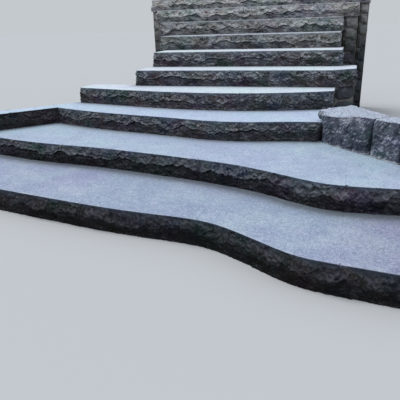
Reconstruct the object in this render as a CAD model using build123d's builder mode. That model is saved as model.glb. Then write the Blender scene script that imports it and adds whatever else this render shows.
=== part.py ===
from build123d import *
from math import cos, radians, sin
import os

# Outdoor stone steps. X runs along the steps, Y runs up the stair, Z is up.
# The origin is on the ground, at the foot of the first step, on the centre line of the upper flight.
os.makedirs("parts", exist_ok=True)

# Rise and going, the length that each step runs in under the next, and the front of the straight flight
rise = 160.0
going = 430.0
tuck = 60.0
flight_front = 2290.0

# Rock-pitched fronts, from the foot up: how far foot, hollow and ledge stand out from the arris
foot_out = 37.0
hollow_out = 29.0
hollow_height = 42.0
ledge_out = 41.0
ledge_height = 88.0
ledge_swell = 7.0
swell_length = 140.0
end_out = 14.0

# Ends of the first step, to the left and to the right of the centre line
foot_left = 2700.0
foot_right = 2420.0

# Kerb on the left: it runs down from the corner of the third step to the end of the second
kerb_corner = (-1772.0, 1731.0)
kerb_angle = 228.0
kerb_stones = [485.0, 350.0]
kerb_thickness = 200.0
kerb_face_out = 18.0

# Boulders on the right: they stand on the second tread in a row from the end of the third step.
# How far the faces stand out from the row's line, the depth behind it and the height are given at the start
# of the row, at each joint and at its end.
row_start = (957.0, 1401.0)
row_angle = -45.0
boulder_lengths = [530.0, 280.0, 396.0, 320.0]
row_fronts = [42.0, 42.0, 42.0, 38.0, 4.0]
row_depths = [345.0, 205.0, 216.0, 224.0, 210.0]
row_heights = [268.0, 274.0, 276.0, 258.0, 232.0]
boulder_gap = 6.0
row_margin = 25.0

# Their faces lean back, and their backs less
face_lean = 48.0
back_lean = 10.0
unevenness = 13.0

# The front arris of the first boulder is lower where the row starts: how much, how far along and how deep
arris_drop = 40.0
arris_drop_length = 390.0
arris_drop_depth = 66.0

# Knob at the upper left of the first boulder: it overhangs the third tread
knob_radius = 46.0
knob_reach = 66.0
knob_sides = 7
knob_clearance = 3.0

# Straight flight: its half widths, then how far each step's left end lies beyond the left one,
# where its joint is along X, and how far its right end lies beyond the right one
flight_left = 1097.0
flight_right = 997.0
flight_steps = {
    5: (0.0, -40.0, 0.0),
    6: (-37.0, -420.0, 60.0),
    7: (43.0, 150.0, 13.0),
    8: (215.0, -330.0, 15.0),
    9: (427.0, 60.0, 194.0),
    10: (684.0, -260.0, 323.0),
}

# Splayed stone that ends the fifth step on the right
end_stone_width = 210.0
end_stone_splay = 160.0


def along(start, angle, distance, aside=0.0):
    """Point at a distance along a line, and aside to its left."""
    x = start[0] + distance * cos(radians(angle)) - aside * sin(radians(angle))
    y = start[1] + distance * sin(radians(angle)) + aside * cos(radians(angle))
    return (x, y)


# Corners of the kerb and of the boulder row, in plan
kerb_length = sum(kerb_stones)
row_length = sum(boulder_lengths)
row_depth = max(row_depths) + row_margin
kerb_end = along(kerb_corner, kerb_angle, kerb_length)
kerb_back_corner = along(kerb_corner, kerb_angle, 0, -kerb_thickness)
kerb_back_end = along(kerb_corner, kerb_angle, kerb_length, -kerb_thickness)
row_end = along(row_start, row_angle, row_length)
row_back_start = along(row_start, row_angle, 0, row_depth)
row_back_end = along(row_start, row_angle, row_length, row_depth)

# Front arrises of the four sweeping lower steps, in plan, from left to right
front_arrises = {
    1: [(-foot_left, 480), (-1950, 300), (-1263, 164), (-640, 68), (0, -2), (434, -49), (640, -148),
        (825, -257), (989, -334), (1135, -361), (1403, -392), (foot_right, -500)],
    2: [kerb_end, (-1940, 1009), (-1420, 908), (-790, 849), (-250, 758), (310, 645), (700, 502),
        (1060, 345), (1450, 338), row_end],
    3: [kerb_corner, (-1030, 1512), (-360, 1385), (190, 1296), (560, 1346), row_start],
    4: [(-1690, 2073), (-1000, 1928), (-50, 1808), (560, 1880), (1025, 2040)],
}

# Joints between the slabs of the lower steps, along X
slab_joints = {1: [-1560, -520, 340, 1180], 2: [-1180, 120, 1180], 3: [-760, 300], 4: [-900, 180]}

# A pitched front from foot to arris: height, how far it stands out, and how much it swells along its length
front_profile = [
    (0.0, foot_out, 0.0),
    (hollow_height, hollow_out, ledge_swell / 2),
    (ledge_height, ledge_out, ledge_swell),
    (rise, 0.0, 0.0),
]


def moved_out(points, out, swell=0.0):
    """The same line moved forward, with a gentle swell along it."""
    return [(x, y - out - swell * sin(x / swell_length)) for x, y in points]


def front_of_flight_step(step):
    return flight_front + (step - 5) * going


def plan_of_lower_step(step, out=0.0, swell=0.0):
    """Outline of one of the four lower steps, from its front to where it runs in under the next."""
    points = front_arrises[step]
    with BuildSketch() as plan:
        with BuildLine():
            front = Spline(*moved_out(points, out, swell))
            if step == 4:
                back_y = flight_front + tuck
                back = Line((points[0][0], back_y), (points[-1][0], back_y))
            else:
                back = Spline(*moved_out(front_arrises[step + 1], -tuck))
            corners_left = {1: [kerb_back_end], 2: [kerb_back_end, kerb_back_corner], 3: [kerb_back_corner], 4: []}
            corners_right = {
                1: [row_back_end],
                2: [row_back_end, row_back_start],
                3: [row_back_start, (row_back_start[0], (back @ 1).Y)],
                4: [],
            }
            Polyline(front @ 0, *corners_left[step], back @ 0)
            Polyline(front @ 1, *corners_right[step], back @ 1)
        make_face()
    return plan.sketch


def plan_of_flight_step(step, out=0.0, swell=0.0):
    """Outline of a straight step. Its ends stand out as its front does, but not against the end stone."""
    beyond_left, joint, beyond_right = flight_steps[step]
    front_y = front_of_flight_step(step)
    back_y = front_y + going + tuck
    side = out * end_out / ledge_out
    left = -flight_left - beyond_left - side
    right = flight_right + beyond_right + (0.0 if step == 5 else side)
    stations = [left, (left + joint) / 2, joint, (joint + right) / 2, right]
    with BuildSketch() as plan:
        with BuildLine():
            front = Spline(*moved_out([(x, front_y) for x in stations], out, swell))
            Polyline(front @ 0, (left, back_y), (right, back_y), front @ 1)
        make_face()
    return plan.sketch


def plan_of_step(step, out=0.0, swell=0.0):
    if step <= 4:
        return plan_of_lower_step(step, out, swell)
    return plan_of_flight_step(step, out, swell)


def plan_of_end_stone(step, out=0.0, swell=0.0):
    """Outline of the splayed stone at the right end of a straight step."""
    near = flight_right + flight_steps[step][2]
    far = near + end_stone_width + out * end_out / ledge_out
    front_y = front_of_flight_step(step)
    back_y = front_y + going + tuck
    with BuildSketch() as plan:
        with BuildLine():
            corners = [(near, front_y - out), (far, front_y + end_stone_splay - out - swell), (far, back_y),
                       (near, back_y)]
            Polyline(*corners, close=True)
        make_face()
    return plan.sketch


def pitched_block(plan, step):
    """Block one rise high with a rock-pitched front, lofted through foot, hollow, ledge and arris."""
    with BuildPart() as block:
        for height, out, swell in front_profile:
            with BuildSketch(Plane.XY.offset((step - 1) * rise + height)):
                add(plan(step, out, swell))
        loft(ruled=True)
    return block.part


def stone_between(whole, left, right):
    """The stone of a long step between two joints. None stands for the end of the step."""
    with BuildPart() as stone:
        add(whole)
        if left is not None:
            split(bisect_by=Plane.YZ.offset(left), keep=Keep.TOP)
        if right is not None:
            split(bisect_by=Plane.YZ.offset(right), keep=Keep.BOTTOM)
    return stone.part


def mitre(corner, angle):
    """Vertical plane through a corner of the third step, where the kerb or the boulders start."""
    return Plane(origin=(*corner, 0), z_dir=(cos(radians(angle)), sin(radians(angle)), 0))


def write(solid, name):
    solid.label = name
    export_step(solid, f"parts/{name}.step")


# Slabs of the lower steps
for step, cuts in slab_joints.items():
    with BuildPart() as sweep_step:
        add(pitched_block(plan_of_step, step))
        if step == 3:
            split(bisect_by=mitre(kerb_corner, kerb_angle), keep=Keep.BOTTOM)
            split(bisect_by=mitre(row_start, row_angle), keep=Keep.BOTTOM)
    ends = [None, *cuts, None]
    for number in range(1, len(ends)):
        write(stone_between(sweep_step.part, ends[number - 1], ends[number]), f"step_{step}_slab_{number}")

# Blocks of the straight flight, two to a step
for step, (beyond_left, joint, beyond_right) in flight_steps.items():
    straight_step = pitched_block(plan_of_step, step)
    write(stone_between(straight_step, None, joint), f"step_{step}_block_left")
    write(stone_between(straight_step, joint, None), f"step_{step}_block_right")
write(pitched_block(plan_of_end_stone, 5), "step_5_end_stone")

# Footings: the masonry under each step, from the ground up to its underside
for step in range(2, 11):
    with BuildPart() as footing:
        with BuildSketch():
            add(plan_of_step(step))
            if step == 5:
                add(plan_of_end_stone(step))
            add(plan_of_step(step - 1, ledge_out), mode=Mode.SUBTRACT)
            if step == 6:
                add(plan_of_end_stone(step - 1, ledge_out), mode=Mode.SUBTRACT)
        extrude(amount=(step - 1) * rise)
    write(footing.part, f"step_{step}_footing")

# Kerb stones on the second tread, their tops level with the third
kerb_at = 0.0
for number, length in enumerate(kerb_stones, start=1):
    kerb_to = kerb_at + length
    with BuildPart() as kerb_stone:
        for height, out in ((0.0, kerb_face_out), (ledge_height, kerb_face_out), (rise, 0.0)):
            with BuildSketch(Plane.XY.offset(2 * rise + height)):
                with BuildLine():
                    front = [along(kerb_corner, kerb_angle, at, out) for at in (kerb_at, kerb_to)]
                    back = [along(kerb_corner, kerb_angle, at, -kerb_thickness) for at in (kerb_to, kerb_at)]
                    Polyline(*front, *back, close=True)
                make_face()
        loft(ruled=True)
    write(kerb_stone.part, f"kerb_stone_{number}")
    kerb_at = kerb_to

# Points round a squared stone, from its front left corner: which end, which face, and the shares of its half
# length and of its half depth that are knocked off there
stone_corners = [
    (-1.0, -1.0, 0.0, 0.2), (-1.0, -1.0, 0.14, 0.0), (0.1, -1.0, 0.0, 0.0), (1.0, -1.0, 0.12, 0.0),
    (1.0, -1.0, 0.0, 0.24), (1.0, 1.0, 0.0, 0.3), (1.0, 1.0, 0.16, 0.0), (-0.15, 1.0, 0.0, 0.0),
    (-1.0, 1.0, 0.2, 0.0), (-1.0, 1.0, 0.0, 0.28),
]

# Sections of a boulder from foot to top: share of its height, how far its face has leant back, and how much
# of its corners is knocked off
boulder_sections = [(0.0, 0.2, 0.9), (0.4, 0.0, 1.0), (0.84, 0.4, 0.7), (1.0, 1.0, 0.2)]


def level_in_row(number, start, length, share):
    """Plane through a boulder at a share of its height, with X along the row. It slopes as the top does."""
    low, high = [share * height for height in row_heights[number - 1:number + 1]]
    along_row = Vector(cos(radians(row_angle)), sin(radians(row_angle)), (high - low) / length)
    to_back = Vector(-sin(radians(row_angle)), cos(radians(row_angle)), 0)
    foot = along(row_start, row_angle, start)
    return Plane((*foot, 2 * rise + low), x_dir=along_row, z_dir=along_row.cross(to_back))


def boulder_outline(number, length, lean, knocked_off):
    """Uneven outline of a boulder in the plane of its section, pulled in as the face leans back."""
    near_front, far_front = row_fronts[number - 1:number + 1]
    near_depth, far_depth = row_depths[number - 1:number + 1]
    points = []
    for i, (end, face, end_cut, face_cut) in enumerate(stone_corners):
        pulled = unevenness * abs(sin(2.3 * i + 1.7 * number))
        side = end * (1 - end_cut * knocked_off)
        x = length / 2 * (1 + side) - side * (1 - lean) * pulled / 2
        front = lean * face_lean - near_front - (far_front - near_front) * x / length
        back = near_depth + (far_depth - near_depth) * x / length - lean * back_lean
        across = face * (1 - face_cut * knocked_off)
        points.append((x, (front + back) / 2 + across * (back - front) / 2 - across * pulled))
    return points


def dropped_arris():
    """Plane that cuts down the front arris of the first boulder, where the row starts."""
    front = face_lean - row_fronts[0]
    top = 2 * rise + row_heights[0]
    low = Vector(*along(row_start, row_angle, 0, front), top - arris_drop)
    far = Vector(*along(row_start, row_angle, arris_drop_length, front), top)
    deep = Vector(*along(row_start, row_angle, 0, arris_drop_depth), top)
    return Plane(low, x_dir=far - low, z_dir=(far - low).cross(deep - low))


boulder_at = 0.0
for number, length in enumerate(boulder_lengths, start=1):
    with BuildPart() as boulder:
        for share, lean, knocked_off in boulder_sections:
            with BuildSketch(level_in_row(number, boulder_at + boulder_gap, length - boulder_gap, share)):
                with BuildLine():
                    outline = boulder_outline(number, length - boulder_gap, lean, knocked_off)
                    Polyline(*outline, close=True)
                make_face()
        loft(ruled=True)
        if number == 1:
            split(bisect_by=dropped_arris(), keep=Keep.BOTTOM)
            for reach, size in ((-knob_reach, 1.0), (0.0, 1.0), (0.6 * knob_reach, 0.88), (knob_reach, 0.5)):
                middle = along(row_start, row_angle, -reach, knob_radius)
                with BuildSketch(Plane((*middle, 3 * rise + knob_radius + knob_clearance),
                                       z_dir=(-cos(radians(row_angle)), -sin(radians(row_angle)), 0))):
                    RegularPolygon(size * knob_radius, knob_sides)
            loft(ruled=True)
    write(boulder.part, f"boulder_{number}")
    boulder_at = boulder_at + length
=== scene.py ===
import math
import random

import bmesh
import bpy
from mathutils import Matrix, Vector, noise
from mathutils.bvhtree import BVHTree


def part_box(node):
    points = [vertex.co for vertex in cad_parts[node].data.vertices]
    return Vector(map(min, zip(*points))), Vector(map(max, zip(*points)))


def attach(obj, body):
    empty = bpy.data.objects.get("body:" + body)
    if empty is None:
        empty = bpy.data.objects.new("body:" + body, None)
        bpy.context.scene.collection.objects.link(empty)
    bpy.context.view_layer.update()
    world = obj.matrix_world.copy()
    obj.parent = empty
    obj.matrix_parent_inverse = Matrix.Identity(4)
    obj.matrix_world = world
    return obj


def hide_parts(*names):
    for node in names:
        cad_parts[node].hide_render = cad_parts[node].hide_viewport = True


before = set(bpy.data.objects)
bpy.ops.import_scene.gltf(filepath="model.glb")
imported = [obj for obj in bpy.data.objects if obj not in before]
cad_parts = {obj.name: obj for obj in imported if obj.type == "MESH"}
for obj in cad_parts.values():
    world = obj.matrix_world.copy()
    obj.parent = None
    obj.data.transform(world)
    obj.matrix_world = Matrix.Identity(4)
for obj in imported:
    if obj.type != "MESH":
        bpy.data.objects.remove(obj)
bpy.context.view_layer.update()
rockSeed = 3
noise.seed_set(rockSeed)      # or the broken faces come out different each run
print("frame loaded:", len(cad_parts), "nodes")


def srgb(red, green, blue):
    # a colour as picked on screen, made linear
    channels = [c / 255 for c in (red, green, blue)]
    return tuple(c / 12.92 if c <= 0.04045 else ((c + 0.055) / 1.055) ** 2.4 for c in channels) + (1.0,)


def addObject(name, data):
    added = bpy.data.objects.new(name, data)
    bpy.context.scene.collection.objects.link(added)
    return added


def meshFrom(bm, name):
    mesh = bpy.data.meshes.new(name)
    bm.to_mesh(mesh)
    bm.free()
    return mesh


# camera, floor and light
viewpoint = {
    "place": (1.150, -2.3745, 1.2668),
    "turnedLeft": 18.46,
    "lookingDown": 21.51,
    "roll": -2.0,
    "lens": 40.5,
    "sensor": 36.0,
    "farthest": 400,
}

stageSetup = {
    "floorRadius": 90.0,
    "floorSides": 96,
    "floorColour": srgb(206, 207, 207),
    "skyColour": srgb(227, 234, 245),
    "skyStrength": 0.72,
    "backgroundColour": srgb(196, 201, 206),
    "sunStrength": 1.25,
    "sunAngle": 40.0,
    "sunTilt": 30.0,      # away from straight overhead
    "sunFrom": 80.0,      # 90 is the left, 180 the front
}


def setUpCamera():
    data = bpy.data.cameras.new("camera")
    data.lens = viewpoint["lens"]
    data.sensor_width = viewpoint["sensor"]
    data.sensor_fit = "HORIZONTAL"
    data.clip_end = viewpoint["farthest"]
    camera = addObject("camera", data)
    turn = (Matrix.Rotation(math.radians(viewpoint["turnedLeft"]), 4, "Z")
            @ Matrix.Rotation(math.radians(90 - viewpoint["lookingDown"]), 4, "X")
            @ Matrix.Rotation(math.radians(viewpoint["roll"]), 4, "Z"))
    camera.matrix_world = Matrix.Translation(viewpoint["place"]) @ turn
    bpy.context.scene.camera = camera


def setUpSun():
    light = bpy.data.lights.new("sun", "SUN")
    light.energy = stageSetup["sunStrength"]
    light.angle = math.radians(stageSetup["sunAngle"])
    sun = addObject("sun", light)
    sun.matrix_world = (Matrix.Rotation(math.radians(stageSetup["sunFrom"] - 180), 4, "Z")
                        @ Matrix.Rotation(math.radians(stageSetup["sunTilt"]), 4, "X"))


def setUpSky():
    # the sky lights the stones, and past the floor the camera sees a plain backdrop
    world = bpy.data.worlds.new("soft sky")
    world.use_nodes = True
    tree = world.node_tree
    sky = tree.nodes["Background"]
    sky.inputs["Color"].default_value = stageSetup["skyColour"]
    sky.inputs["Strength"].default_value = stageSetup["skyStrength"]
    backdrop = tree.nodes.new("ShaderNodeBackground")
    backdrop.inputs["Color"].default_value = stageSetup["backgroundColour"]
    rays = tree.nodes.new("ShaderNodeLightPath")
    seen = rays.outputs["Is Camera Ray"]
    for ray in ("Is Glossy Ray", "Is Transmission Ray"):
        adding = tree.nodes.new("ShaderNodeMath")
        adding.use_clamp = True
        tree.links.new(seen, adding.inputs[0])
        tree.links.new(rays.outputs[ray], adding.inputs[1])
        seen = adding.outputs[0]
    either = tree.nodes.new("ShaderNodeMixShader")
    tree.links.new(seen, either.inputs[0])
    tree.links.new(sky.outputs[0], either.inputs[1])
    tree.links.new(backdrop.outputs[0], either.inputs[2])
    tree.links.new(either.outputs[0], tree.nodes["World Output"].inputs["Surface"])
    bpy.context.scene.world = world


class Wire:
    # one output of a node, with Python's operators adding Math nodes
    def __init__(self, shader, socket):
        self.shader = shader
        self.socket = socket

    def maths(self, operation, first, second):
        return self.shader.add("ShaderNodeMath", {"operation": operation}, {0: first, 1: second})

    def __add__(self, other):
        return self.maths("ADD", self, other)

    __radd__ = __add__

    def __sub__(self, other):
        return self.maths("SUBTRACT", self, other)

    def __rsub__(self, other):
        return self.maths("SUBTRACT", other, self)

    def __mul__(self, other):
        return self.maths("MULTIPLY", self, other)

    __rmul__ = __mul__

    def __truediv__(self, other):
        return self.maths("DIVIDE", self, other)


class Shader:
    # a material whose nodes are added one call at a time
    rampHeight = 1.6      # metres above the ground that shades by height are spread over

    def __init__(self, name):
        self.material = bpy.data.materials.new(name)
        self.material.use_nodes = True
        self.tree = self.material.node_tree
        self.surface = self.tree.nodes["Principled BSDF"]
        self.place = self.add("ShaderNodeTexCoord", {}, {}, "Object")

    def add(self, kind, settings, inputs, output=0):
        node = self.tree.nodes.new(kind)
        for key, value in settings.items():
            if key == "stops":
                ramp = node.color_ramp.elements
                while len(ramp) < len(value):
                    ramp.new(0.5)
                for element, (position, shade) in zip(ramp, value):
                    element.position = position
                    element.color = shade
            else:
                setattr(node, key, value)
        for key, value in inputs.items():
            self.feed(node.inputs[key], value)
        return Wire(self, node.outputs[output])

    def feed(self, socket, value):
        if isinstance(value, Wire):
            self.tree.links.new(value.socket, socket)
        else:
            socket.default_value = value

    def set(self, **inputs):
        for name, value in inputs.items():
            self.feed(self.surface.inputs[name.replace("_", " ")], value)

    def noise(self, scale, detail, roughness, distortion=0.0, place=None):
        sockets = {"Vector": place or self.place, "Scale": scale, "Detail": detail,
                   "Roughness": roughness, "Distortion": distortion}
        return self.add("ShaderNodeTexNoise", {}, sockets, "Fac")

    def grains(self, scale, channel):
        # cells of one even value each, read from one channel of their random colours
        colours = self.add("ShaderNodeTexVoronoi", {}, {"Vector": self.place, "Scale": scale}, "Color")
        return self.add("ShaderNodeSeparateColor", {}, {0: colours}, channel)

    def stretched(self, size, turn):
        # coordinates for a pattern drawn out along its own turned axes
        sockets = {"Vector": self.place, "Scale": size, "Rotation": tuple(math.radians(t) for t in turn)}
        return self.add("ShaderNodeMapping", {"vector_type": "TEXTURE"}, sockets, "Vector")

    def between(self, value, low, high, start=0.0, end=1.0):
        # eases from the start to the end while the value goes from low to high
        settings = {"clamp": True, "interpolation_type": "SMOOTHSTEP"}
        sockets = {"Value": value, "From Min": low, "From Max": high, "To Min": start, "To Max": end}
        return self.add("ShaderNodeMapRange", settings, sockets, "Result")

    def near(self, value, middle, reach):
        # 1 where the value is at the middle, 0 from the reach outwards
        away = self.add("ShaderNodeMath", {"operation": "ABSOLUTE"}, {0: value - middle})
        return self.between(away, reach, 0.0)

    def mixed(self, factor, first, second, how="MIX"):
        settings = {"data_type": "RGBA", "blend_type": how, "clamp_factor": True}
        return self.add("ShaderNodeMix", settings, {0: factor, 6: first, 7: second}, 2)

    def washed(self, colour, value, low, high, amount, shade, how="MIX"):
        # takes on up to this amount of a shade while the value goes from low to high
        return self.mixed(self.between(value, low, high, 0.0, amount), colour, shade, how)

    def attribute(self, name):
        return self.add("ShaderNodeAttribute", {"attribute_name": name}, {}, "Fac")

    def axis(self, name, vector=None):
        return self.add("ShaderNodeSeparateXYZ", {}, {0: vector or self.place}, name)

    def upward(self):
        # how far up the surface faces
        return self.axis("Z", self.add("ShaderNodeNewGeometry", {}, {}, "Normal"))

    def byHeight(self, shades):
        # a colour that changes with the height above the ground, in metres
        stops = [(height / self.rampHeight, shade) for height, shade in shades]
        return self.add("ShaderNodeValToRGB", {"stops": stops}, {0: self.axis("Z") / self.rampHeight})

    def bump(self, height, distance, strength):
        sockets = {"Height": height, "Distance": distance, "Strength": strength}
        return self.add("ShaderNodeBump", {}, sockets, "Normal")


# the flamed treads, painted paler up the stair: a painted reflection of the sky on treads seen at a low angle
treadShades = {
    "stone": [(0.16, srgb(163, 177, 202)), (0.32, srgb(184, 203, 223)), (0.48, srgb(203, 222, 244)),
              (0.64, srgb(236, 250, 255)), (0.96, srgb(240, 248, 255)), (1.12, srgb(192, 199, 206))],
    "greenCloud": srgb(232, 255, 244),
    "rosyCloud": srgb(255, 240, 255),
    "darkPatch": srgb(198, 204, 216),
    "palePatch": srgb(255, 255, 255),
    "darkGrain": srgb(84, 94, 118),
    "paleGrain": srgb(240, 246, 255),
    "rightEndShade": srgb(243, 237, 235),
    "lowFootShade": srgb(78, 84, 84),
    "highFootShade": srgb(134, 140, 148),
    "edgeHighlightColour": srgb(220, 228, 238),
}


def treadFinish(shades=treadShades):
    # faint speckle and soft clouds, painted paler up the stair, with painted shade at the foot of each riser
    s = Shader("flamed tread")
    rising = s.axis("Z")
    grains = s.grains(165, "Red")
    coarse = s.grains(80, "Green")
    specks = s.noise(150, 3, 0.7)
    mottle = s.noise(26, 4, 0.6)
    blots = s.noise(9, 3, 0.55, 0.4)
    clouds = s.noise(2.6, 3, 0.5, 0.6)
    drift = s.noise(1.1, 2, 0.5, 0.3)
    # painted reflection: the stone's colour gets paler up the stair
    colour = s.byHeight(shades["stone"])
    colour = s.washed(colour, clouds, 0.42, 0.66, 0.5, shades["greenCloud"], "MULTIPLY")
    colour = s.washed(colour, drift, 0.42, 0.66, 0.6, shades["rosyCloud"], "MULTIPLY")
    for pattern, amount in ((blots, 0.22), (mottle, 0.16), (clouds, 0.25)):
        colour = s.washed(colour, pattern, 0.52, 0.3, amount, shades["darkPatch"], "MULTIPLY")
        colour = s.washed(colour, pattern, 0.5, 0.72, amount * 0.5, shades["palePatch"])
    speckle = (grains - 0.5) + (coarse - 0.5) * 0.3 + (specks - 0.5) * 0.9
    colour = s.washed(colour, speckle, -0.05, -0.55, 0.36, shades["darkGrain"])
    colour = s.washed(colour, speckle, 0.05, 0.55, 0.32, shades["paleGrain"])
    # painted shade: the right end of the lowest step is darker
    rightEndShade = s.between(s.axis("X"), 0.9, 1.7) * s.between(rising, 0.3, 0.2)
    colour = s.mixed(rightEndShade, colour, shades["rightEndShade"], "MULTIPLY")
    # painted shade at the foot of each riser, broken up by the blots and mottle, strongest on the lowest
    # tread
    paintedFootShade = (s.attribute("footShade") * s.between(rising, 0.2, 0.3, 1.6, 1.0)
             + (blots - 0.5) * 0.5 + (mottle - 0.5) * 0.3)
    footShadeColour = s.mixed(s.between(rising, 0.2, 0.6), shades["lowFootShade"], shades["highFootShade"])
    colour = s.washed(colour, paintedFootShade, 0.05, 0.95, 0.74, footShadeColour)
    # painted highlight: a pale line along the front edge of each tread
    colour = s.mixed(s.attribute("edgeWear") * 0.15, colour, shades["edgeHighlightColour"])
    s.set(Base_Color=colour, Roughness=s.between(specks, 0.3, 0.7, 0.55, 0.75),
          Normal=s.bump(grains * 0.4 + specks * 0.6, 0.0008, 0.5))
    return s.material


# the broken rock, by height above the ground: it gets paler up the stair too
rockShades = {
    "band": [(0.10, srgb(47, 47, 52)), (0.25, srgb(76, 80, 85)), (0.42, srgb(77, 81, 86)),
             (0.90, srgb(84, 86, 91)), (1.06, srgb(126, 128, 124)), (1.25, srgb(160, 160, 158)),
             (1.50, srgb(186, 184, 180))],
    "foot": [(0.05, srgb(27, 26, 28)), (0.20, srgb(38, 38, 41)), (0.36, srgb(63, 62, 66)),
             (0.90, srgb(77, 76, 82)), (1.02, srgb(98, 100, 100)), (1.40, srgb(130, 131, 132))],
    "wisp": [(0.10, srgb(88, 88, 94)), (0.25, srgb(128, 130, 134)), (0.50, srgb(158, 160, 164)),
             (0.95, srgb(172, 174, 178)), (1.40, srgb(222, 222, 222))],
    "crevice": [(0.10, srgb(8, 8, 9)), (0.50, srgb(15, 15, 17)), (1.40, srgb(40, 40, 42))],
    "arris": [(0.10, srgb(60, 68, 84)), (0.25, srgb(114, 126, 142)), (0.90, srgb(150, 161, 174)),
              (1.06, srgb(172, 177, 179)), (1.40, srgb(240, 242, 244))],
    "paleArris": srgb(196, 199, 201),
    "greenTint": srgb(188, 238, 206),
    "violetTint": srgb(242, 208, 244),
    "warmTint": srgb(255, 232, 218),
    "blueTint": srgb(206, 228, 255),
}
kerbShades = dict(rockShades, band=[(0.3, srgb(50, 48, 51)), (0.5, srgb(56, 54, 57))],
                  foot=[(0.3, srgb(50, 47, 48)), (0.4, srgb(54, 51, 53))],
                  wisp=[(0.3, srgb(106, 104, 106)), (0.5, srgb(112, 110, 113))],
                  arris=[(0.3, srgb(44, 48, 56)), (0.5, srgb(50, 54, 62))])


def pitchedFinish(name, shades=rockShades, contrast=1.0, tinting=1.0):
    # a mottled streaky band above the ledge, dark below it, a pale painted highlight on the lip and black
    # painted shadow in the hollows under the ledge
    s = Shader(name)
    section = s.attribute("rockHeight")      # 0 at the stone's foot, 1 at its arris
    rising = s.axis("Z")
    wide = s.noise(3.6, 3, 0.5, 0.6)
    other = s.noise(4.6, 3, 0.5, 0.4, s.stretched((1.6, 1.2, 0.8), (20, 35, 50)))
    patches = s.noise(11, 3, 0.55, 0.8, s.stretched((1.3, 1.3, 0.75), (0, 12, 0)))
    mottle = s.noise(48, 5, 0.75, 0.6)
    grit = s.noise(150, 3, 0.75)
    fibres = s.noise(66, 4, 0.72, 0.8, s.stretched((3.4, 3.4, 0.9), (0, 22, 0)))
    crossed = s.noise(52, 4, 0.72, 0.8, s.stretched((2.6, 2.6, 0.9), (0, -38, 0)))
    threads = s.near(s.noise(34, 4, 0.6, 1.4), 0.5, 0.025)
    crevice = s.byHeight(shades["crevice"])
    wisp = s.byHeight(shades["wisp"])
    soft = 0.18 - s.attribute("rockBold") * 0.12      # the change at the ledge is sharper where it stands out
    upper = s.between(section + (mottle - 0.5) * 0.25, 0.5 - soft, 0.56 + soft)
    colour = s.mixed(upper, s.byHeight(shades["foot"]), s.byHeight(shades["band"]))
    faded = s.between(rising, 0.75, 1.1, tinting, tinting * 0.4)      # the tints are weaker up the stair
    for pattern, low, high, tint in ((wide, 0.5, 0.66, "greenTint"), (wide, 0.48, 0.32, "violetTint"),
                                     (other, 0.52, 0.64, "warmTint"), (other, 0.46, 0.34, "blueTint")):
        colour = s.mixed(s.between(pattern, low, high) * faded, colour, shades[tint], "MULTIPLY")
    # the mottle, fibres, crossed strokes, patches and grit are the rock's own tone; the ridge term paints
    # highlight on ridges and shade in creases, and the upward term paints faces turned up lighter and faces
    # turned down darker, as overhead light would
    tone = ((mottle - 0.5) * 0.7
            + ((fibres - 0.5) * 2.4 + (crossed - 0.5) * 1.4) * s.between(rising, 0.45, 1.1, 1.0, 0.6)
            + (patches - 0.5) * s.between(rising, 0.4, 1.1, 1.0, 3.2)
            + (grit - 0.5) * 0.9 + (s.attribute("rockRidge") - 0.5) * 0.5 + (s.upward() - 0.1) * 0.6)
    colour = s.washed(colour, tone, 0.1, -0.75, 0.85 * contrast, crevice)
    shown = upper * 0.35 + s.between(rising, 0.2, 0.5, 0.42, 0.62)
    colour = s.mixed(s.between(tone, 0.1, 0.9, 0.0, 0.9 * contrast) * shown, colour, wisp)
    veined = threads * s.between(patches, 0.4, 0.58) * (shown * 0.5 + 0.3) * (0.7 * contrast)
    colour = s.mixed(veined, colour, wisp)
    # painted highlight on the lip just above the ledge
    colour = s.mixed(s.attribute("rockLip") * s.between(rising, 0.1, 0.3, 0.3, 0.6), colour, wisp)
    # painted shadow in the hollows just below the ledge
    colour = s.mixed(s.attribute("rockHollow") * 0.8, colour, crevice)
    # painted sky light: the top of each riser, under the arris, paler and bluer, less so up the stair
    rim = (s.between(section + (fibres - 0.5) * 0.25, 0.82, 0.95, 0.0, 0.5)
           * s.between(rising, 0.95, 1.1, 1.0, 0.5))
    colour = s.mixed(rim, colour, s.byHeight(shades["arris"]))
    # painted highlight: a pale line along the arris of the upper risers
    paleArris = (s.between(section + (fibres - 0.5) * 0.2, 0.94, 0.99)
                 * s.between(rising, 0.98, 1.06, 0.0, 0.9))
    colour = s.mixed(paleArris, colour, shades["paleArris"])
    s.set(Base_Color=colour, Roughness=s.between(grit, 0.3, 0.7, 0.75, 0.92), Specular_IOR_Level=0.12,
          Normal=s.bump(mottle * 0.5 + fibres * 0.3 + grit * 0.2, 0.006, 0.8))
    return s.material


boulderShades = {
    "darkFace": srgb(82, 88, 100),
    "paleFace": srgb(98, 100, 114),
    "greenTint": srgb(200, 240, 218),
    "violetTint": srgb(220, 206, 252),
    "crack": srgb(24, 25, 30),
    "wisp": srgb(172, 175, 184),
    "darkTop": srgb(148, 158, 176),
    "paleTop": srgb(208, 216, 230),
    "topPatch": srgb(170, 170, 186),
    "darkFleck": srgb(104, 112, 128),
    "paleFleck": srgb(244, 248, 254),
    "dust": srgb(206, 206, 206),
}


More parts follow.
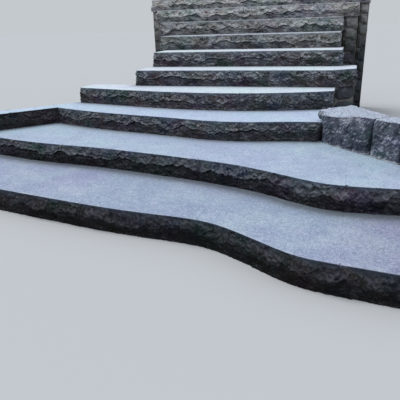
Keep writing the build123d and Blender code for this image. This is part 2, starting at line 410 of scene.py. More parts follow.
def boulderFinish(shades=boulderShades):
    # natural stone: grey faces hatched with slanting cracks, and pale speckled tops with a crisp edge, the
    # tops pale partly from weathering and partly as painted light from above
    s = Shader("boulder")
    hatching = s.noise(52, 4, 0.7, 0.4, s.stretched((2.8, 2.8, 0.8), (0, -52, 0)))
    crossed = s.noise(50, 4, 0.7, 0.6, s.stretched((2.2, 2.2, 0.8), (0, 30, 0)))
    patches = s.noise(6.5, 3, 0.55, 0.8)
    tones = s.noise(4.4, 3, 0.5, 0.4, s.stretched((1.3, 1.0, 0.8), (10, 40, 30)))
    grit = s.noise(75, 4, 0.7)
    flecks = s.noise(130, 3, 0.7)
    face = s.mixed(s.between(patches, 0.36, 0.64), shades["darkFace"], shades["paleFace"])
    face = s.washed(face, tones, 0.52, 0.66, 0.9, shades["greenTint"], "MULTIPLY")
    face = s.washed(face, tones, 0.45, 0.32, 0.9, shades["violetTint"], "MULTIPLY")
    # hatching, crossed strokes, grit and patches are the stone's own; the ridge, hollow and upward terms
    # paint light and shade: lighter on ridges and faces turned up, darker in the hollows
    tone = ((hatching - 0.5) * 3.6 + (crossed - 0.5) * 0.7 + (grit - 0.5) * 1.3 + (patches - 0.5) * 2.0
            + (s.attribute("rockRidge") - 0.5) * 0.3 + (0.4 - s.attribute("rockHollow")) * 0.2
            + s.upward() * 0.4)
    face = s.washed(face, tone, 0.1, -0.75, 0.85, shades["crack"])
    face = s.washed(face, tone, 0.12, 0.85, 0.9, shades["wisp"])
    top = s.mixed(s.between(grit, 0.38, 0.62), shades["darkTop"], shades["paleTop"])
    top = s.washed(top, patches, 0.5, 0.66, 0.5, shades["topPatch"])
    top = s.washed(top, flecks, 0.46, 0.32, 0.8, shades["darkFleck"])
    top = s.washed(top, flecks, 0.54, 0.68, 0.8, shades["paleFleck"])
    # the pale top is where the surface faces up: partly weathering, partly painted light from above
    crown = s.attribute("rockTop") + (grit - 0.5) * 0.6
    colour = s.mixed(s.between(crown, 0.45, 0.6), face, top)
    dust = s.attribute("footDust") * s.between(grit + (patches - 0.5) * 0.6, 0.42, 0.56)
    colour = s.mixed(dust, colour, shades["dust"])
    s.set(Base_Color=colour, Roughness=s.between(grit, 0.3, 0.7, 0.7, 0.9), Specular_IOR_Level=0.25,
          Normal=s.bump(hatching * 0.5 + grit * 0.35 + flecks * 0.15, 0.005, 0.8))
    return s.material


mortarShades = {"clean": srgb(122, 119, 112), "stained": srgb(96, 95, 92), "sand": srgb(70, 68, 64)}


def mortarFinish(shades=mortarShades):
    s = Shader("lime mortar")
    sand = s.noise(190, 3, 0.7)
    stains = s.noise(6, 3, 0.6, 0.5)
    colour = s.mixed(s.between(stains, 0.35, 0.65), shades["clean"], shades["stained"])
    colour = s.washed(colour, sand, 0.4, 0.25, 0.6, shades["sand"])
    s.set(Base_Color=colour, Roughness=0.9, Normal=s.bump(sand, 0.002, 0.8))
    return s.material


def floorFinish():
    s = Shader("studio floor")
    s.set(Base_Color=stageSetup["floorColour"], Roughness=0.9, Specular_IOR_Level=0.1)
    return s.material


def setUpFloor():
    bm = bmesh.new()
    bmesh.ops.create_circle(bm, cap_ends=True, segments=stageSetup["floorSides"],
                            radius=stageSetup["floorRadius"])
    floor = addObject("floor", meshFrom(bm, "floor"))
    floor.data.materials.append(floorFinish())


# what the frame says about each node
def mergedCopy(node, sameSpot=2e-5):
    bm = bmesh.new()
    bm.from_mesh(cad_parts[node].data)
    bmesh.ops.remove_doubles(bm, verts=bm.verts, dist=sameSpot)
    return bm


solids = {}
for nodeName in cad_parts:
    copy = mergedCopy(nodeName)
    low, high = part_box(nodeName)
    solids[nodeName] = {"tree": BVHTree.FromBMesh(copy), "low": low, "high": high}
    copy.free()


def neighboursOf(node, reach=0.05):
    own = solids[node]
    near = {}
    for name, other in solids.items():
        gaps = [max(own["low"][i] - other["high"][i], other["low"][i] - own["high"][i]) for i in range(3)]
        if name != node and max(gaps) < reach:
            near[name] = other["tree"]
    return near


def isOpen(spot, outward, clearance, near):
    # whether no neighbour stands before a spot on a side
    return all(tree.ray_cast(spot, outward, clearance)[0] is None for tree in near)


def topOutline(node, sameLevel=1e-4, facingUp=0.99):
    # the loop round a node's top face, anticlockwise seen from above
    bm = mergedCopy(node)
    top = solids[node]["high"].z
    links = {}
    for edge in bm.edges:
        level = all(abs(vert.co.z - top) < sameLevel for vert in edge.verts)
        if level and sum(face.normal.z > facingUp for face in edge.link_faces) == 1:
            for vert in edge.verts:
                links.setdefault(vert, []).append(edge.other_vert(vert))
    start = min(links, key=lambda v: (v.co.x, v.co.y))
    loop, last = [start], None
    while True:
        following = [v for v in links[loop[-1]] if v is not last][0]
        if following is start:
            break
        last = loop[-1]
        loop.append(following)
    points = [v.co.xy.copy() for v in loop]
    bm.free()
    area = sum(p.x * q.y - q.x * p.y for p, q in zip(points, points[1:] + points[:1]))
    return points if area > 0 else points[::-1]


def clamp(value, low=0.0, high=1.0):
    return min(high, max(low, value))


def smoothStep(value, low, high):
    share = clamp((value - low) / (high - low))
    return share * share * (3 - 2 * share)


def swell(value, rising, falling):
    # 0, then 1 from the end of the rising range to the start of the falling one, then 0 again
    return smoothStep(value, *rising) * (1 - smoothStep(value, *falling))


# rock-pitched stones: columns round the outline, each a row of points from the arris to the foot
pitchedLook = {
    "columnStep": 0.0054,
    "rowStep": 0.0056,
    "hiddenStep": 0.09,
    "edgeStrip": 0.012,
    "hiddenStrip": 0.002,
    "edgeDrop": 0.0016,
    "jointHalf": 0.0001,
    "usualRise": 0.16,
    "ledgeHeight": 0.088,
    "ledgeDrop": 0.008,
    "ledgeWander": 0.021,
    "ledgeCell": 0.15,
    "lipDrop": 0.003,
    "undercut": 0.014,
    "boldness": 1.0,
    "boldUntil": (0.5, 0.85),      # the ledge dies out towards the right
    "flakes": (0.016, 0.075),      # how deep they tilt, and how wide they are
    "chips": (0.009, 0.033),
    "grit": (0.005, 0.016),
    "hackle": 0.0016,
    "arrisChip": 0.003,
    "arrisPitch": 31,
    "startInside": 0.035,
    "ridgeReach": 2,
    "ridgeHeight": 0.008,
    "treadCell": (0.05, 0.045),
    "slot": "step_stone",
}
groundLook = dict(pitchedLook, undercut=0.006, boldness=0.25, flakes=(0.012, 0.10))
upperLook = dict(pitchedLook, ledgeDrop=0.017, flakes=(0.018, 0.075), boldness=0.85, boldUntil=(2.0, 3.0))
kerbLook = dict(pitchedLook, undercut=0.0, boldness=0.0, lipDrop=0.0, ledgeWander=0.01, flakes=(0.009, 0.075),
                arrisChip=0.03, arrisPitch=13, slot="kerb_stone", treadCell=(0.09, 0.09))

# how the columns find their corners, the joints and the solid's own face
columnRules = {
    "cornerTurn": 0.85,      # two sides that agree less than this meet in a corner
    "probeInside": 0.001,
    "probeAside": 0.002,
    "clearance": 0.07,      # a side shows where no neighbour stands as near as this
    "smoothOver": 3,
    "jointColumns": 8,
    "jointTurn": 0.6,
    "hiddenInside": 0.02,
    "rayReach": 0.3,
    "sawnEdge": 0.0004,
}


def facing(run):
    # where a side of an anticlockwise outline faces
    return Vector((run.y, -run.x)).normalized()


def closeColumns(node, look, rules=columnRules):
    # columns all round the outline, with their directions and whether they show
    middle = (solids[node]["low"].z + solids[node]["high"].z) / 2
    near = neighboursOf(node).values()
    points = topOutline(node)
    columns = []
    for start, end, after in zip(points, points[1:] + points[:1], points[2:] + points[:2]):
        run = end - start
        along, outward = run.normalized(), facing(run)
        turns = outward.dot(facing(after - end)) < rules["cornerTurn"]
        count = max(1, round(run.length / look["columnStep"]))
        for i in range(count + turns):
            place = start + run * i / count
            fromEnd = along * (1 if i == 0 else -1 if i == count else 0)      # away from the nearer end
            inside = place - outward * rules["probeInside"] + fromEnd * rules["probeAside"]
            origin = Vector((inside.x, inside.y, middle))
            columns.append({"place": place, "outward": outward, "along": along, "corner": i in (0, count),
                            "shows": isOpen(origin, outward.to_3d(), rules["clearance"], near),
                            "nudge": fromEnd * look["jointHalf"]})
    return columns


def smoothColumns(columns, rules=columnRules):
    # outward directions that turn gently; near a joint they turn along it, so that two stones meet there
    total = len(columns)
    for i, column in enumerate(columns):
        column["smoothed"] = column["outward"]
        if not column["shows"]:
            continue
        beside = [columns[(i + k) % total] for k in range(-rules["smoothOver"], rules["smoothOver"] + 1)]
        smoothed = sum((c["outward"] for c in beside if c["shows"]), Vector((0, 0))).normalized()
        for way in (-1, 1):
            reached = [k for k in range(1, rules["jointColumns"] + 1)
                       if not columns[(i + way * k) % total]["shows"]]
            if reached:
                hidden = columns[(i + way * reached[0]) % total]["along"] * -way
                if hidden.dot(smoothed) > rules["jointTurn"]:
                    closeness = 1 - (reached[0] - 1) / rules["jointColumns"]
                    smoothed = smoothed.lerp(hidden, closeness).normalized()
        column["smoothed"] = smoothed


def columnsRound(node, look):
    # the columns that are kept: close together only where the side shows
    columns = closeColumns(node, look)
    smoothColumns(columns)
    kept, since = [], 0.0
    for i, column in enumerate(columns):
        ahead, behind = columns[(i + 1) % len(columns)]["shows"], columns[i - 1]["shows"]
        column["atJoint"] = 1.0 if column["shows"] and not (ahead and behind) else 0.0
        since += (column["place"] - columns[i - 1]["place"]).length
        if column["shows"] or column["corner"] or ahead or behind or since > look["hiddenStep"]:
            kept.append(column)
            since = 0.0
    return kept


# how flat facets of three sizes, and a fine slanting hackle, make up the broken face
facetKinds = {
    "flakes": (0.62, Vector((0, 0, 0))),      # how squat they are, and where their pattern starts
    "chips": (0.6, Vector((3, 5, 7))),
    "grit": (0.8, Vector((9, 2, 4))),
}
facetRules = {"waver": 0.3, "waverPitch": 0.9, "tiltPitch": 37.0, "middle": 0.45}
hackleRules = {
    "slant": (0.6, 0.5, 1.4),
    "pitch": 36,
    "fractal": (0.9, 2.2, 2, 1.0, 1.6),      # falling off, spacing, octaves, offset and gain
    "middle": 1.6,
}


def facet(place, size, squat, rules=facetRules):
    # the tilt of the flat facet that a place lies on, about -0.5 to 0.5
    scaled = Vector((place.x, place.y, place.z / squat)) / size
    scaled = scaled + noise.noise_vector(scaled * rules["waverPitch"]) * rules["waver"]
    centre = noise.voronoi(scaled)[1][0]
    tilt = noise.cell_vector(centre * rules["tiltPitch"]) - Vector((0.5, 0.5, 0.5))
    return (scaled - centre).dot(tilt) * 2


def rockDepth(place, look):
    # how far the broken face lies behind its outermost plane
    depth = 0.0
    for kind, (squat, start) in facetKinds.items():
        tilt, size = look[kind]
        depth += tilt * (facetRules["middle"] + facet(place + start, size, squat))
    across, along, upward = hackleRules["slant"]
    slanted = Vector((place.x + place.z * across, place.y + place.z * along, place.z * upward))
    hackle = noise.ridged_multi_fractal(slanted * hackleRules["pitch"], *hackleRules["fractal"])
    depth += look["hackle"] * (hackleRules["middle"] - hackle)
    return max(0.0, depth)


lobeRules = {
    "sizes": ((1.0, 1.0), (0.38, 0.32)),      # shares of the ledge's cell, and how much each counts
    "waver": 0.35,
    "waverPitch": 6.0,
    "leanPitch": 17.0,
    "lean": 0.9,
    "sharpness": 1.5,
    "depth": 3.0,
    "middle": 1.1,
    "limits": (-1.3, 1.4),
    "roll": 0.03,
    "rollPitch": 3.1,
}


def ledgeShift(place, look, rules=lobeRules):
    # the ledge hangs down in lobes that meet at sharp leaning peaks, small lobes on large ones
    lobes = 0.0
    for size, share in rules["sizes"]:
        spot = (place / (look["ledgeCell"] * size)
                + noise.noise_vector(place * rules["waverPitch"]) * rules["waver"])
        distances, centres = noise.voronoi(spot)
        lean = noise.cell(centres[0] * rules["leanPitch"]) * (spot.x - centres[0].x)
        peak = rules["depth"] * distances[0] ** rules["sharpness"]
        lobes += share * (peak - rules["middle"] + rules["lean"] * lean)
    return (look["ledgeWander"] * clamp(lobes, *rules["limits"])
            + rules["roll"] * noise.noise(place * rules["rollPitch"]) - look["ledgeDrop"])


boldRules = {
    "pitch": 1.3,
    "start": Vector((4, 4, 4)),
    "range": (-0.35, 0.1),
    "raised": (-0.008, 0.016),
    "lowShare": 0.35,      # what is left where the ledge hangs low
    "rightLoss": 0.7,
}


def layLedge(columns, bottom, look, rules=boldRules):
    # where the ledge runs in each column, and how boldly it stands out there
    for column in columns:
        spot = column["place"].to_3d() + Vector((0, 0, bottom))
        column["shift"] = ledgeShift(spot, look)
        raised = smoothStep(column["shift"] + look["ledgeDrop"], *rules["raised"])
        strength = smoothStep(noise.noise(spot * rules["pitch"] + rules["start"]), *rules["range"])
        strength *= rules["lowShare"] + (1 - rules["lowShare"]) * raised
        strength *= 1 - rules["rightLoss"] * smoothStep(spot.x, *look["boldUntil"])
        column["bold"] = look["boldness"] * strength


def ledgeOf(rise, look):
    return look["ledgeHeight"] * rise / look["usualRise"]


def sectionLevels(rise, look):
    # heights in the solid's own section, from under the arris to the foot, one of them on the ledge
    ledge = ledgeOf(rise, look)
    above, below = (max(3, round(length / look["rowStep"])) for length in (rise - ledge, ledge))
    under = ledge - look["lipDrop"]
    return ([rise - (rise - ledge) * k / above for k in range(1, above + 1)]
            + [under - under * k / below for k in range(below + 1)])


def arrisChip(place, look, threshold=0.18):
    return look["arrisChip"] * max(0.0, noise.noise(place * look["arrisPitch"]) - threshold)


def reachOut(origin, outward, inside, level, stone):
    # how far out the solid's own face lies at a level, for a ray that starts this far inside the outline
    edge = columnRules["sawnEdge"]
    origin.z = stone["bottom"] + clamp(level, edge, stone["rise"] - edge)
    hit = stone["tree"].ray_cast(origin, outward, columnRules["rayReach"])[0]
    return (hit - origin).dot(outward) - inside if hit is not None else 0.0


# how the face changes away from the ledge and the arris; of two ranges, a form rises over the first and
# falls over the second
faceRules = {
    "shiftGain": 1.6,
    "undercut": ((0.0, 0.006), (0.010, 0.055)),      # below the ledge
    "hollow": ((0.0, 0.003), (0.006, 0.026)),      # below the ledge, where the painted shadow goes
    "lip": ((-0.001, 0.0), (0.002, 0.011)),      # above the ledge, where the painted highlight goes
    "leastUndercut": 0.15,
    "calmShare": 0.5,      # the face is flatter below the ledge
    "calmReach": 0.03,
    "arrisFade": 0.018,
    "chipReach": 0.02,
}


def roughPoint(column, level, stone, look, rules=faceRules):
    # one point of the broken face, from a height in the solid's section that the ledge has moved up or down
    outward = column["smoothed"].to_3d()
    rise, bold = stone["rise"], column["bold"]
    ledge = ledgeOf(rise, look)
    share = level / ledge if level < ledge else (rise - level) / (rise - ledge)
    height = level + column["shift"] * min(1.0, share * rules["shiftGain"])
    place = Vector((column["place"].x, column["place"].y, stone["bottom"] + height))
    origin = place + column["nudge"].to_3d() - outward * look["startInside"]
    reach = reachOut(origin, outward, look["startInside"], level, stone)
    boldShare = rules["leastUndercut"] + (1 - rules["leastUndercut"]) * bold
    undercut = look["undercut"] * boldShare * swell(ledge - level, *rules["undercut"])
    calm = 1 - rules["calmShare"] * (1 - smoothStep(level, ledge - rules["calmReach"], ledge))
    depth = (rockDepth(place, look) * calm + undercut) * smoothStep(rise - height, 0.0, rules["arrisFade"])
    chip = arrisChip(place, look) * smoothStep(height, rise - rules["chipReach"], rise)
    return {"offset": reach - depth - chip, "height": height, "section": level / rise,
            "hollow": bold * swell(ledge - level, *rules["hollow"]),
            "lip": bold * swell(level - ledge, *rules["lip"])}


def hiddenPoint(column, level, stone, look):
    # one point of a side in a joint, which keeps the solid's own shape
    inside = columnRules["hiddenInside"]
    origin = (column["place"] - column["outward"] * inside).to_3d()
    reach = reachOut(origin, column["outward"].to_3d(), inside, level, stone)
    return {"offset": reach - look["jointHalf"], "height": level, "section": level / stone["rise"],
            "hollow": 0.0, "lip": 0.0}


def treadRing(columns, strip, drop, stone, look):
    # a ring of points at the arris, or a strip's width in from it
    ring = []
    for column in columns:
        flat = column["place"].to_3d()
        flat.z = stone["bottom"] + stone["rise"]
        inward = column["smoothed"].to_3d() * -1
        if column["shows"]:
            moved = inward * (arrisChip(flat, look) + strip) - Vector((0, 0, drop))
        else:
            moved = inward * (look["hiddenStrip"] if strip else look["jointHalf"])
        # this mark places a pale painted highlight along the tread's front edge
        marks = {"rockHeight": 1.0, "edgeWear": 1.0 if column["shows"] and not strip else 0.0,
                 "rockRidge": 0.5, "rockBold": column["bold"], "atJoint": column["atJoint"]}
        ring.append({"co": flat + moved, "marks": marks, "shows": column["shows"]})
    return ring


def faceRing(columns, rows, j, stone, look):
    # row j of the broken face, with the marks that its finish reads
    ring, reach = [], look["ridgeReach"]
    row, above, below = rows[j], rows[max(0, j - reach)], rows[min(len(rows) - 1, j + reach)]
    for i, (column, point) in enumerate(zip(columns, row)):
        around = [above[i]["offset"], below[i]["offset"]]
        for k in (i - reach, (i + reach) % len(columns)):
            around.append(row[k]["offset"] if columns[k]["shows"] else point["offset"])
        # in the finish this mark lightens ridges and darkens creases: a painted highlight and painted shade
        ridge = clamp(0.5 + (point["offset"] - sum(around) / 4) / look["ridgeHeight"])
        flat = (column["place"] + column["nudge"]).to_3d()
        flat.z = stone["bottom"] + point["height"]
        marks = {"rockHeight": point["section"], "rockHollow": point["hollow"], "rockRidge": ridge,
                 "rockLip": point["lip"], "rockBold": column["bold"], "atJoint": column["atJoint"]}
        ring.append({"co": flat + column["smoothed"].to_3d() * point["offset"], "marks": marks})
    return ring


vertexMarks = ("rockHeight", "rockHollow", "rockRidge", "rockLip", "rockBold", "atJoint", "edgeWear",
               "footShade")


def markLayers(bm, names):
    return {name: bm.verts.layers.float.new(name) for name in names}


def shellFromRings(rings, sameSpot=1e-6):
    # a closed body from rings of points, each ring one row of a grid; the two ends are filled flat
    across = len(rings[0])
    bm = bmesh.new()
    layers = markLayers(bm, vertexMarks)
    bmesh.ops.create_grid(bm, x_segments=across, y_segments=len(rings) - 1, size=1)
    bm.verts.ensure_lookup_table()
    for j, ring in enumerate(rings):
        for i in range(across + 1):
            vert = bm.verts[j * (across + 1) + i]
            point = ring[i % across]
            vert.co = point["co"]
            for name, value in point.get("marks", {}).items():
                vert[layers[name]] = value
    for k, face in enumerate(bm.faces):
        face.smooth = True
        # in a joint the first row down is sawn like the top
        sawn = not any(rings[1][i % across].get("shows", True) for i in (k % across, k % across + 1))
        face.material_index = 0 if k < across or (sawn and k < across * 2) else 1
    bmesh.ops.remove_doubles(bm, verts=bm.verts, dist=sameSpot)
    for edge in bm.edges:
        # sharp down the corner where a stone goes in behind its joint
        edge.smooth = min(vert[layers["atJoint"]] for vert in edge.verts) < 1
    rims = [edge for edge in bm.edges if edge.is_boundary]
    caps = bmesh.ops.holes_fill(bm, edges=rims, sides=0)["faces"]
    bmesh.ops.recalc_face_normals(bm, faces=bm.faces)
    if bm.calc_volume(signed=True) < 0:
        bmesh.ops.reverse_faces(bm, faces=bm.faces)
    bm.normal_update()
    for face in caps:
        face.smooth = False
        face.material_index = 0 if face.normal.z > 0 else 1
    return bm, [face for face in caps if face.normal.z > 0], layers


# painted shade: how a tread darkens towards the riser that stands on it
footShadeRules = {"tallerBy": 0.05, "edgeDepth": 0.012, "lift": 0.03, "reach": 0.4, "fade": 0.072, "far": 1.0}


def cutIntoCells(bm, faces, node, look, sameSpot=1e-5):
    low, high = solids[node]["low"], solids[node]["high"]
    for axis, step in enumerate(look["treadCell"]):
        normal = Vector((1, 0, 0)) if axis == 0 else Vector((0, 1, 0))
        for n in range(1, int((high[axis] - low[axis]) / step) + 1):
            spot = Vector((0, 0, high.z))
            spot[axis] = low[axis] + n * step
            edges = {edge for face in faces for edge in face.edges}
            verts = {vert for face in faces for vert in face.verts}
            cut = bmesh.ops.bisect_plane(bm, geom=faces + list(edges) + list(verts), dist=sameSpot,
                                         plane_co=spot, plane_no=normal)
            faces = [item for item in cut["geom"] if isinstance(item, bmesh.types.BMFace)]


def shadeTread(bm, footShade, node, paintedFootShade=footShadeRules):
    # marks how near each corner of the tread is to the riser that stands on it, for the painted shade at the
    # riser's foot
    top = solids[node]["high"].z
    near = [tree for name, tree in neighboursOf(node).items()
            if solids[name]["high"].z > top + paintedFootShade["tallerBy"] and not name.startswith("boulder")]
    for vert in [vert for vert in bm.verts if vert.co.z > top - paintedFootShade["edgeDepth"]]:
        spot = vert.co + Vector((0, 0, paintedFootShade["lift"]))
        found = [tree.find_nearest(spot, paintedFootShade["reach"]) for tree in near]
        nearest = min([paintedFootShade["far"]] + [apart for place, _, _, apart in found if place is not None])
        vert[footShade] = math.exp(-nearest / paintedFootShade["fade"])


def finishPiece(bm, name, finishes, node):
    mesh = meshFrom(bm, name)
    for finish in finishes:
        mesh.materials.append(finish)
    piece = addObject(name, mesh)
    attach(piece, "root")
    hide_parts(node)
    return piece


def pitchedStone(node, finishes, look=pitchedLook):
    bottom, top = solids[node]["low"].z, solids[node]["high"].z
    stone = {"tree": solids[node]["tree"], "bottom": bottom, "rise": top - bottom}
    columns = columnsRound(node, look)
    layLedge(columns, bottom, look)
    rows = []
    for level in sectionLevels(stone["rise"], look):
        rows.append([roughPoint(column, level, stone, look) if column["shows"]
                     else hiddenPoint(column, level, stone, look) for column in columns])
    rings = [treadRing(columns, look["edgeStrip"], 0.0, stone, look),
             treadRing(columns, 0.0, look["edgeDrop"], stone, look)]
    rings += [faceRing(columns, rows, j, stone, look) for j in range(len(rows))]
    bm, caps, layers = shellFromRings(rings)
    cutIntoCells(bm, caps, node, look)
    shadeTread(bm, layers["footShade"], node)
    return finishPiece(bm, "stone_" + node, finishes, node)


# boulders: the CAD stones, remeshed and broken up
boulderLook = {
    "voxel": 0.007,
    "rounds": 2,
    "flakes": (0.011, 0.12),
    "chips": (0.005, 0.035),
    "grit": (0.005, 0.015),
    "hackle": 0.0018,
    "flatFrom": (0.55, 0.9),      # how far up a top faces
    "topShare": 0.5,
    "footShare": 0.35,
    "footReach": 0.03,
    "spared": Vector((0.94, 1.44, 0.53)),      # the knob, which stays whole
    "sparedReach": (0.07, 0.13),
    "knobSwell": 0.006,
    "cleftReach": 0.035,
    "cleftDepth": 0.014,
    "cleftUntil": (0.4, 0.65),      # shares of the height
    "meeting": 0.45,
    "meetingFrom": (0.6, 0.8),
    "dustRange": (0.004, 0.010),
    "ridgeHeight": 0.004,
    "hollowDepth": 0.022,
    "underside": -0.7,      # what faces further down than this stays whole
}


def evenBoulder(node, look):
    # the solid's shape in small even faces, a little rounded
    rough = addObject("rough", meshFrom(mergedCopy(node), "rough"))
    remesh = rough.modifiers.new("voxels", "REMESH")
    remesh.mode = "VOXEL"
    remesh.voxel_size = look["voxel"]
    even = bpy.data.meshes.new_from_object(rough.evaluated_get(bpy.context.evaluated_depsgraph_get()))
    bpy.data.objects.remove(rough)
    bm = bmesh.new()
    bm.from_mesh(even)
    for _ in range(look["rounds"]):
        bmesh.ops.smooth_vert(bm, verts=bm.verts, factor=0.5, use_axis_x=True, use_axis_y=True,
                              use_axis_z=True)
    bm.normal_update()
    return bm


def brokenBoulder(node, finishes, look=boulderLook):
    bm = evenBoulder(node, look)
    layers = markLayers(bm, ("rockHollow", "rockRidge", "rockTop", "footDust"))
    bottom, top = solids[node]["low"].z, solids[node]["high"].z
    beside = [solids[name]["tree"] for name in solids if name.startswith("boulder") and name != node]
    depths = {}
    for vert in bm.verts:
        flat = smoothStep(vert.normal.z, *look["flatFrom"])
        grounded = smoothStep(vert.co.z, bottom, bottom + look["footReach"])
        spared = smoothStep((vert.co - look["spared"]).length, *look["sparedReach"])
        depth = (rockDepth(vert.co, look) * (1 - flat * (1 - look["topShare"])) * spared
                 * (look["footShare"] + (1 - look["footShare"]) * grounded)
                 - look["knobSwell"] * (1 - spared))
        for tree in beside:
            # two boulders all but meet above and part in a cleft below
            spot, _, _, apart = tree.find_nearest(vert.co, look["cleftReach"])
            if spot is not None:
                closeness = 1 - apart / look["cleftReach"]
                parted = 1 - smoothStep((vert.co.z - bottom) / (top - bottom), *look["cleftUntil"])
                depth += closeness * (look["cleftDepth"] * parted - depth * (1 - parted))
                meeting = look["meeting"] * (1 - parted) * smoothStep(closeness, *look["meetingFrom"])
                vert.co = vert.co.lerp(spot, meeting)
        depths[vert] = depth
        vert[layers["rockTop"]] = flat
        vert[layers["footDust"]] = 1 - smoothStep(vert.co.z, *(bottom + up for up in look["dustRange"]))
    # the ridge and hollow marks become painted highlight and painted shade in the finish
    for vert, depth in depths.items():
        around = [depths[edge.other_vert(vert)] for edge in vert.link_edges]
        vert[layers["rockRidge"]] = clamp(0.5 + (sum(around) / len(around) - depth) / look["ridgeHeight"])
        vert[layers["rockHollow"]] = min(1.0, depth / look["hollowDepth"])
    for vert in bm.verts:
        if vert.normal.z > look["underside"]:
            vert.co -= vert.normal * depths[vert]
        vert.co.z = max(bottom, vert.co.z)
    for face in bm.faces:
        face.smooth = True
    return finishPiece(bm, "broken_" + node, finishes, node)


# rubble masonry of the footings: a mortar body with courses of squared rubble on the sides that show
masonryLook = {
    "course": 0.15,
    "courseRange": (0.8, 1.25),
    "length": 0.27,
    "lengthRange": (0.65, 1.4),
    "longest": 1.6,      # times the length, for the stretch that is left at the end
    "halvedFrom": 1.3,
    "joint": 0.011,
    "thickness": 0.06,
    "recess": 0.013,
    "rounding": 0.006,
    "roundFrom": 0.6,
    "bulge": 0.006,
    "bulgePitch": 9.0,
    "endPitch": 23,
    "bedPitch": 19,
    "edgeInset": 0.002,
    "edgeWaver": 0.004,
    "edgeFrom": 0.9,
    "frontFrom": 0.3,
    "section": 0.75,      # coloured as the upper part of a riser is
    "cuts": 3,
    "columnStep": 0.03,
    "shortestRun": 0.05,
    "shortestStone": 0.09,
    "clearance": 0.06,      # a stone is laid where no other piece stands as near as this
    "probes": ((0.5, 0.5), (0.15, 0.2), (0.85, 0.2), (0.15, 0.8), (0.85, 0.8)),
}


def courseHeights(total, draw, look):
    count = max(1, round(total / look["course"]))
    shares = [draw.uniform(*look["courseRange"]) for _ in range(count)]
    levels = [0.0]
    for share in shares:
        levels.append(levels[-1] + total * share / sum(shares))
    return levels


def stoneEnds(length, draw, look):
    ends = [0.0]
    while length - ends[-1] > look["length"] * look["longest"]:
        ends.append(ends[-1] + look["length"] * draw.uniform(*look["lengthRange"]))
    if len(ends) > 1 and length - ends[-1] < look["shortestStone"]:
        ends.pop()
    if length - ends[-1] > look["length"] * look["halvedFrom"]:
        ends.append((ends[-1] + length) / 2)
    return ends + [length]


def straightRuns(points, inLine=0.9999):
    # the sides of an outline, those in one line taken together
    runs = []
    for p, q in zip(points, points[1:] + points[:1]):
        if runs and (q - p).normalized().dot((runs[-1][1] - runs[-1][0]).normalized()) > inLine:
            runs[-1][1] = q
        else:
            runs.append([p, q])
    return runs


def stoneShows(start, along, outward, ends, levels, near, look):
    # whether a stone has open space before its middle or near one of its corners
    inside = outward * columnRules["probeInside"]
    for across, upward in look["probes"]:
        spot = start + along * (ends[0] + (ends[1] - ends[0]) * across) - inside
        spot.z = levels[0] + (levels[1] - levels[0]) * upward
        if isOpen(spot, outward, look["clearance"], near):
            return True
    return False


def stoneSpace(start, along, outward, ends, levels, look):
    # a unit cube's way to one stone's size and place
    width, tall = ends[1] - ends[0] - look["joint"], levels[1] - levels[0] - look["joint"]
    middle = start + along * (ends[0] + ends[1]) / 2 - outward * look["thickness"] / 2
    middle.z = (levels[0] + levels[1]) / 2
    turn = Matrix((-along, outward, Vector((0, 0, 1)))).transposed().to_4x4()
    return Matrix.Translation(middle) @ turn @ Matrix.Diagonal((width, look["thickness"], tall, 1))


def stoneSpaces(node, look):
    draw = random.Random("masonry " + node)
    near = neighboursOf(node).values()
    spaces = []
    for p, q in straightRuns(topOutline(node)):
        length = (q - p).length
        if length < look["shortestRun"]:
            continue
        start, along = p.to_3d(), ((q - p) / length).to_3d()
        outward = Vector((along.y, -along.x, 0))
        levels = courseHeights(solids[node]["high"].z, draw, look)
        for course in zip(levels, levels[1:]):
            ends = stoneEnds(length, draw, look)
            for stone in zip(ends, ends[1:]):
                if stoneShows(start, along, outward, stone, course, near, look):
                    spaces.append(stoneSpace(start, along, outward, stone, course, look))
    return spaces


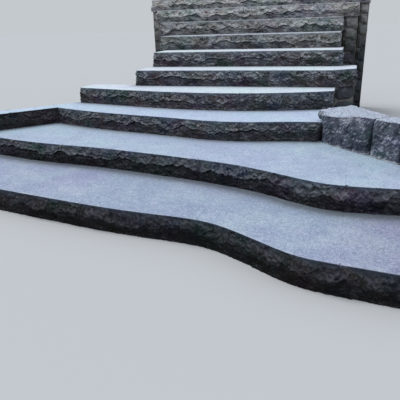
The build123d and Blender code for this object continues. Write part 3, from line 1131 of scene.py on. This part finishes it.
def rubbleStones(spaces, look):
    # all of one footing's stones: cut-up cubes, their faces pillowed and their edges uneven
    bm = bmesh.new()
    layers = markLayers(bm, vertexMarks)
    ownNumber = bm.verts.layers.float.new("ownNumber")
    for number, space in enumerate(spaces):
        for vert in bmesh.ops.create_cube(bm, size=1, matrix=space)["verts"]:
            vert[ownNumber] = number
    bmesh.ops.subdivide_edges(bm, edges=bm.edges, cuts=look["cuts"], use_grid_fill=True)
    backs = [space.inverted() for space in spaces]
    for vert in bm.verts:
        number = round(vert[ownNumber])
        along, outward, up = (spaces[number].col[k].to_3d().normalized() for k in range(3))
        local = backs[number] @ vert.co
        aside, above = abs(local.x) * 2, abs(local.z) * 2
        uneven = noise.noise(vert.co * look["bulgePitch"])
        rim = smoothStep(max(aside, above), look["roundFrom"], 1.0)
        # the finish darkens each stone towards its edges, a painted shade where it meets the mortar
        vert[layers["rockHeight"]] = look["section"]
        vert[layers["rockRidge"]] = 0.55 - 0.25 * rim + 0.3 * uneven
        vert[layers["rockHollow"]] = 0.35 * rim
        if local.y > look["frontFrom"]:
            falls = sum(smoothStep(away, look["roundFrom"], 1.0) for away in (aside, above))
            vert.co -= outward * max(0.0, look["rounding"] * falls + look["bulge"] * (0.5 + uneven))
        for share, axis, pitch in ((local.x, along, look["endPitch"]), (local.z, up, look["bedPitch"])):
            if local.y > -look["frontFrom"] and abs(share) * 2 > look["edgeFrom"]:
                waver = look["edgeWaver"] * noise.noise(vert.co * pitch)
                vert.co -= axis * math.copysign(look["edgeInset"] + waver, share)
    bm.verts.layers.float.remove(ownNumber)
    for face in bm.faces:
        face.smooth = True
        face.material_index = 1
    return meshFrom(bm, "rubble")


def footingMasonry(node, finishes, look=masonryLook):
    high = solids[node]["high"].z
    columns = columnsRound(node, dict(pitchedLook, columnStep=look["columnStep"]))
    body = [column["place"] - column["smoothed"] * (look["recess"] if column["shows"] else 0.0)
            for column in columns]
    rings = [[{"co": Vector((spot.x, spot.y, level))} for spot in body] for level in (high, 0.0)]
    bm = shellFromRings(rings)[0]
    for face in bm.faces:
        face.smooth = False
        face.material_index = 0
    spaces = stoneSpaces(node, look)
    if spaces:
        rubble = rubbleStones(spaces, look)
        bm.from_mesh(rubble)
        bpy.data.meshes.remove(rubble)
    return finishPiece(bm, "masonry_" + node, finishes, node)


setUpCamera()
setUpFloor()
setUpSky()
setUpSun()
bpy.context.scene.view_settings.view_transform = "Standard"
tread = treadFinish()
pitched = pitchedFinish("rock-pitched face")
kerbRock = pitchedFinish("kerb face", kerbShades, tinting=0.7)
boulderRock = boulderFinish()
rubbleRock = pitchedFinish("rubble stone", contrast=0.6, tinting=0.4)
mortar = mortarFinish()
print("stage and finishes ready")

upperFrom = 0.9      # the stones that start above this height have the upper look
for name in sorted(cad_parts):
    if name.endswith("footing"):
        piece = footingMasonry(name, [mortar, rubbleRock])
    elif name.startswith("boulder"):
        piece = brokenBoulder(name, [boulderRock])
    elif name.startswith("kerb"):
        piece = pitchedStone(name, [tread, kerbRock], kerbLook)
    elif name.startswith("step_1_"):
        piece = pitchedStone(name, [tread, pitched], groundLook)
    elif solids[name]["low"].z > upperFrom:
        piece = pitchedStone(name, [tread, pitched], upperLook)
    else:
        piece = pitchedStone(name, [tread, pitched])
    print(name, "has", len(piece.data.polygons), "faces")

print("all pieces in place")
